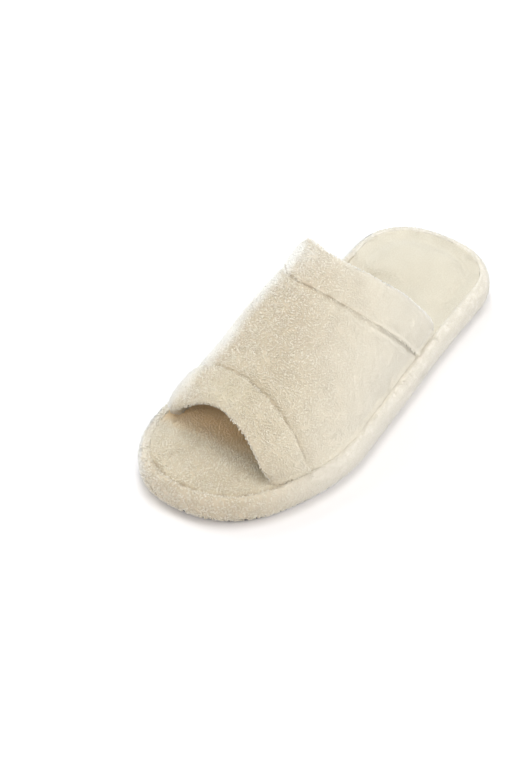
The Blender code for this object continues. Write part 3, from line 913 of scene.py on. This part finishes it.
def bent_tufts(place, normal, lean, size, height):
    """Tufts' points from root to tip, the ways they face, and how far up a tuft they are."""
    side = np.cross(normal, lean)
    rise = normal * math.cos(RING_TILT) - lean * math.sin(RING_TILT)

    def on_path(row):
        return place + lean * (TUFT_LENGTH * size * row.along) + normal * (height * row.up)

    rows = [(on_path(TUFT_ROOT), normal, TUFT_ROOT.up)]
    for step in range(TUFT_SIDES):
        turn = 2.0 * math.pi * step / TUFT_SIDES
        around = side * math.cos(turn) + rise * math.sin(turn)
        ring = on_path(TUFT_RING) + around * (TUFT_RADIUS * size)
        rows.append((ring, around, TUFT_RING.up + RING_PAINTED_SHADE * math.sin(turn)))
    rows.append((on_path(TUFT_TIP), unit(lean + normal), TUFT_TIP.up))
    points, directions, ups = zip(*rows)
    return np.stack(points, axis=1), np.stack(directions, axis=1), np.array(ups)


def tuft_faces():
    """Faces of one tuft, root to ring and ring to tip, and their corners on a square map."""
    tip = 1 + TUFT_SIDES
    faces = []
    corners = []
    for side in range(TUFT_SIDES):
        here = 1 + side
        after = 1 + (side + 1) % TUFT_SIDES
        left = side / TUFT_SIDES
        right = (side + 1) / TUFT_SIDES
        middle = (left + right) / 2
        faces.append((0, after, here))
        corners.append(((middle, 0.0), (right, 0.5), (left, 0.5)))
        faces.append((here, after, tip))
        corners.append(((left, 0.5), (right, 0.5), (middle, 1.0)))
    return faces, np.array(corners).reshape(-1, 2)


def add_flat_map(piece, count, corners):
    """Lay each tuft's faces in a square of their own on a flat map."""
    cells = math.ceil(math.sqrt(count))
    cell = np.stack([np.arange(count) % cells, np.arange(count) // cells], axis=1)
    inside_cell = MAP_MARGIN + (1.0 - 2.0 * MAP_MARGIN) * corners
    spots = (cell[:, None, :] + inside_cell[None, :, :]) / cells
    layer = piece.data.uv_layers.new(name="OFBake")
    layer.uv.foreach_set("vector", spots.astype(np.float32).ravel())


def add_pile(name, cloth, density, material):
    """Cover a cloth with bent tufts, as thickly as a density says in each of its cells."""
    chance = np.random.default_rng(PILE_SEEDS[name])
    roots = spread_roots(cell_areas(cloth.points) * density, chance)
    place = at_roots(cloth.points, roots)
    normal = unit(at_roots(cloth.normals, roots))
    seam = at_roots(cloth.seam, roots)
    count = len(place)
    lean = tuft_lean(place, normal, chance)
    size = chance.uniform(*TUFT_SIZES, (count, 1)) * (1.0 - SEAM_SHORT * seam[:, None])
    height = TUFT_HEIGHT * size * chance.uniform(*TUFT_HEIGHTS, (count, 1))
    height = height * (1.0 + (WORN_HEIGHT - 1.0) * worn_share(place)[:, None])
    even = evenness(place)
    # even pile has few deep tufts and looks paler, partly painted light on the lateral side, heel and
    # medial side
    tone = chance.uniform(0.0, 1.0, count) * (1.0 + (WORN_TONE - 1.0) * even)
    points, directions, ups = bent_tufts(place, normal, lean, size, height)
    each = len(ups)
    template, corners = tuft_faces()
    faces = [
        tuple(first + corner for corner in face)
        for first in range(0, count * each, each) for face in template
    ]
    # pile: deeper towards the roots and on the rings' undersides, painted shade that is lighter where
    # the pile is even
    values = {
        "seam": np.repeat(seam, each),
        "inside": np.repeat(at_roots(cloth.inside, roots), each),
        "nap": np.repeat(at_roots(cloth.nap, roots), each),
        "tone": np.repeat(tone, each),
        "pile": 1.0 - np.outer(1.0 - WORN_ROOTS * even, 1.0 - np.clip(ups, 0.0, 1.0)),
    }
    piece = add_piece(name, points, faces, material, values)
    add_flat_map(piece, count, corners)
    softness = (FRESH_SOFTNESS + (WORN_SOFTNESS - FRESH_SOFTNESS) * even)[:, None, None]
    soft = normal[:, None] * softness + directions * (1.0 - softness)
    piece.data.normals_split_custom_set_from_vertices(unit(soft).reshape(-1, 3).tolist())


def new_material(name):
    """A material with nodes, its node tree and its shader."""
    material = bpy.data.materials.new(name)
    material.use_nodes = True
    tree = material.node_tree
    return material, tree, tree.nodes["Principled BSDF"]


def attribute(tree, name):
    """The values that the mesh holds under a name."""
    node = tree.nodes.new("ShaderNodeAttribute")
    node.attribute_name = name
    return node.outputs["Fac"]


def set_constants(node, values):
    """Set constants on a node's own sockets."""
    for name, value in values.items():
        node.inputs[name].default_value = value


def texture(tree, kind, values):
    """A texture in the slipper's own space."""
    place = tree.nodes.new("ShaderNodeTexCoord")
    node = tree.nodes.new(kind)
    set_constants(node, values)
    tree.links.new(place.outputs["Object"], node.inputs["Vector"])
    return node.outputs


def mapped(tree, value, low, high, to_low, to_high):
    """Stretch a value from one range to another."""
    node = tree.nodes.new("ShaderNodeMapRange")
    set_constants(node, {"From Min": low, "From Max": high, "To Min": to_low, "To Max": to_high})
    tree.links.new(value, node.inputs["Value"])
    return node.outputs["Result"]


def uneven(tree, look):
    """Noise stretched from one range to another."""
    grain = texture(tree, "ShaderNodeTexNoise", {"Scale": look.scale, "Detail": look.detail})
    return mapped(tree, grain["Fac"], look.low, look.high, look.to_low, look.to_high)


def mixed(tree, share, first, second):
    """Mix two colours, each a constant or another node's output."""
    node = tree.nodes.new("ShaderNodeMix")
    node.data_type = "RGBA"
    tree.links.new(share, node.inputs["Factor"])
    for socket, colour in ((node.inputs[6], first), (node.inputs[7], second)):
        if isinstance(colour, tuple):
            socket.default_value = colour
        else:
            tree.links.new(colour, socket)
    return node.outputs[2]


def add_bump(tree, shader, height, values):
    """Make a surface uneven by another node's heights."""
    bump = tree.nodes.new("ShaderNodeBump")
    set_constants(bump, values)
    tree.links.new(height, bump.inputs["Height"])
    tree.links.new(bump.outputs["Normal"], shader.inputs["Normal"])


def terry_material(name):
    """Terry: pale tips over roots deepened by painted shade, uneven tuft by tuft, with painted
    highlight, painted light and painted shade from the nap values, painted warm shade under the upper,
    and tan where its thread shows.
    """
    look = TERRY_LOOKS[name]
    material, tree, shader = new_material(name)
    colour = mixed(tree, attribute(tree, "pile"), look.root, look.tip)
    colour = mixed(tree, attribute(tree, "tone"), colour, SHADE_COLOUR)
    warm = tuple(channel * tint for channel, tint in zip(look.tip, WARM_TINT))
    colour = mixed(tree, uneven(tree, WARM_PATCHES), colour, warm)
    # nap values above 0: a deeper tone and patches of painted shade; below 0: painted highlight and
    # painted light
    colour = mixed(tree, attribute(tree, "nap"), colour, NAP_AND_PAINTED_SHADE_COLOUR)
    painted_light = mapped(tree, attribute(tree, "nap"), -1.0, 0.0, 1.0, 0.0)
    colour = mixed(tree, painted_light, colour, PAINTED_HIGHLIGHT_COLOUR)
    # painted warm shade on the insole under the upper
    colour = mixed(tree, attribute(tree, "inside"), colour, UNDER_UPPER_PAINTED_SHADE_COLOUR)
    sewn = mapped(tree, attribute(tree, "seam"), THREAD_START, THREAD_FULL, 0.0, look.thread)
    colour = mixed(tree, sewn, colour, SEAM_COLOUR)
    tree.links.new(colour, shader.inputs["Base Color"])
    tree.links.new(uneven(tree, TERRY_ROUGHNESS), shader.inputs["Roughness"])
    set_constants(shader, TERRY_SHADER)
    fibres = texture(tree, "ShaderNodeTexNoise", TERRY_FIBRES)
    add_bump(tree, shader, fibres["Fac"], TERRY_BUMP)
    return material


def rubber_material():
    """Thin grey sheet rubber with a fine pebbled grip."""
    material, tree, shader = new_material("outsole_rubber")
    colour = mixed(tree, uneven(tree, RUBBER_PATCHES), RUBBER_COLOUR, RUBBER_PALE)
    tree.links.new(colour, shader.inputs["Base Color"])
    tree.links.new(uneven(tree, RUBBER_ROUGHNESS), shader.inputs["Roughness"])
    pebbles = texture(tree, "ShaderNodeTexVoronoi", RUBBER_PEBBLES)
    add_bump(tree, shader, pebbles["Distance"], RUBBER_BUMP)
    return material


def closed_cloth(cloth):
    """A ring cloth with its first column repeated at its end."""
    return Cloth(*[np.concatenate([grid, grid[:, :1]], axis=1) for grid in cloth])


def add_upper():
    """The upper: its padded cloth, and pile on the band, on the rolls and inside."""
    terry = terry_material("upper_terry")
    lining_terry = terry_material("lining_terry")
    upper = upper_cloth()
    outside = 2 * (ROLL_STEPS + 1 + REACH_STEPS) + BODY_STEPS
    piece = ring_piece("upper_cloth", upper, outside, terry)
    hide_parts("upper")
    upper = closed_cloth(upper)
    column = np.arange(upper.points.shape[1] - 1)
    on_band = (column >= ROLL_STEPS) & (column < outside - 1 - ROLL_STEPS)
    turned_under = column >= len(column) - ROLL_STEPS // 2
    on_rolls = ((column < outside - 1) & ~on_band) | turned_under
    lining = (column >= outside - 1) & ~turned_under
    cover = seam_cover(upper)
    add_pile("upper_pile", upper, cover * on_band, terry)
    add_pile("roll_pile", upper, cover * on_rolls, terry)
    add_pile("lining_pile", upper, LINING_DENSITY * lining, lining_terry)


def add_band():
    """The sole's wrapped band, and pile on it down to its underside."""
    terry = terry_material("band_terry")
    band = band_cloth()
    piece = band_piece("band_cloth", band, terry)
    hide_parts("platform")
    band = closed_cloth(band)
    row = np.arange(band.points.shape[0] - 1)
    showing = np.where(row >= BARE_ROWS, 1.0, 0.0)
    add_pile("band_pile", band, showing[:, None] * seam_cover(band), terry)


def add_insole():
    """The insole, and pile on its top, thinner under the upper."""
    terry = terry_material("insole_terry")
    insole = insole_cloth()
    piece = ring_piece("insole_cloth", insole, INSOLE_COLUMNS, terry)
    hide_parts("insole")
    top = Cloth(*[grid[:, :INSOLE_COLUMNS] for grid in insole])
    density = seam_cover(top) * (1.0 - COVERED_THINNING * top.inside[:-1, :-1])
    add_pile("insole_pile", top, density, terry)


def finish_outsole():
    """Give the outsole, which is the CAD's own mesh, its rubber."""
    outsole = bpy.data.objects["outsole"]
    outsole.data.materials.clear()
    outsole.data.materials.append(rubber_material())


def add_floor():
    """A plain pale floor."""
    bpy.ops.mesh.primitive_plane_add(size=FLOOR_SIZE)
    floor = bpy.context.object
    floor.name = "floor"
    material, _, shader = new_material("floor")
    set_constants(shader, FLOOR_SHADER)
    material.cycles.emission_sampling = "NONE"
    floor.data.materials.append(material)


def add_lamp(row):
    """A large soft lamp that shines at the slipper."""
    lamp = bpy.data.lights.new(row.name, "AREA")
    lamp.shape = "DISK"
    lamp.size = row.size
    lamp.energy = row.power
    lamp.color = row.colour
    holder = bpy.data.objects.new(row.name, lamp)
    holder.location = row.place
    aim = LAMP_TARGET - holder.location
    holder.rotation_euler = aim.to_track_quat("-Z", "Y").to_euler()
    bpy.context.collection.objects.link(holder)


def add_light():
    """White surroundings, and broad lamps overhead and round about."""
    scene = bpy.context.scene
    world = bpy.data.worlds.new("studio")
    world.use_nodes = True
    set_constants(world.node_tree.nodes["Background"], WORLD_LIGHT)
    scene.world = world
    scene.view_settings.view_transform = "Standard"
    for row in LAMPS:
        add_lamp(row)


def add_camera():
    """The photograph's view of the slipper."""
    camera = bpy.data.cameras.new("camera")
    camera.lens = CAMERA_LENS
    camera.sensor_width = SENSOR
    camera.clip_start = CLIP_START
    camera.clip_end = CLIP_END
    holder = bpy.data.objects.new("camera", camera)
    aim = (CAMERA_TARGET - CAMERA_PLACE).to_track_quat("-Z", "Y").to_matrix().to_4x4()
    roll = Matrix.Rotation(CAMERA_ROLL, 4, "Z")
    holder.matrix_world = Matrix.Translation(CAMERA_PLACE) @ aim @ roll
    bpy.context.collection.objects.link(holder)
    bpy.context.scene.camera = holder


noise.seed_set(NAP_SEED)
add_camera()
add_light()
add_floor()
add_upper()
add_band()
add_insole()
finish_outsole()
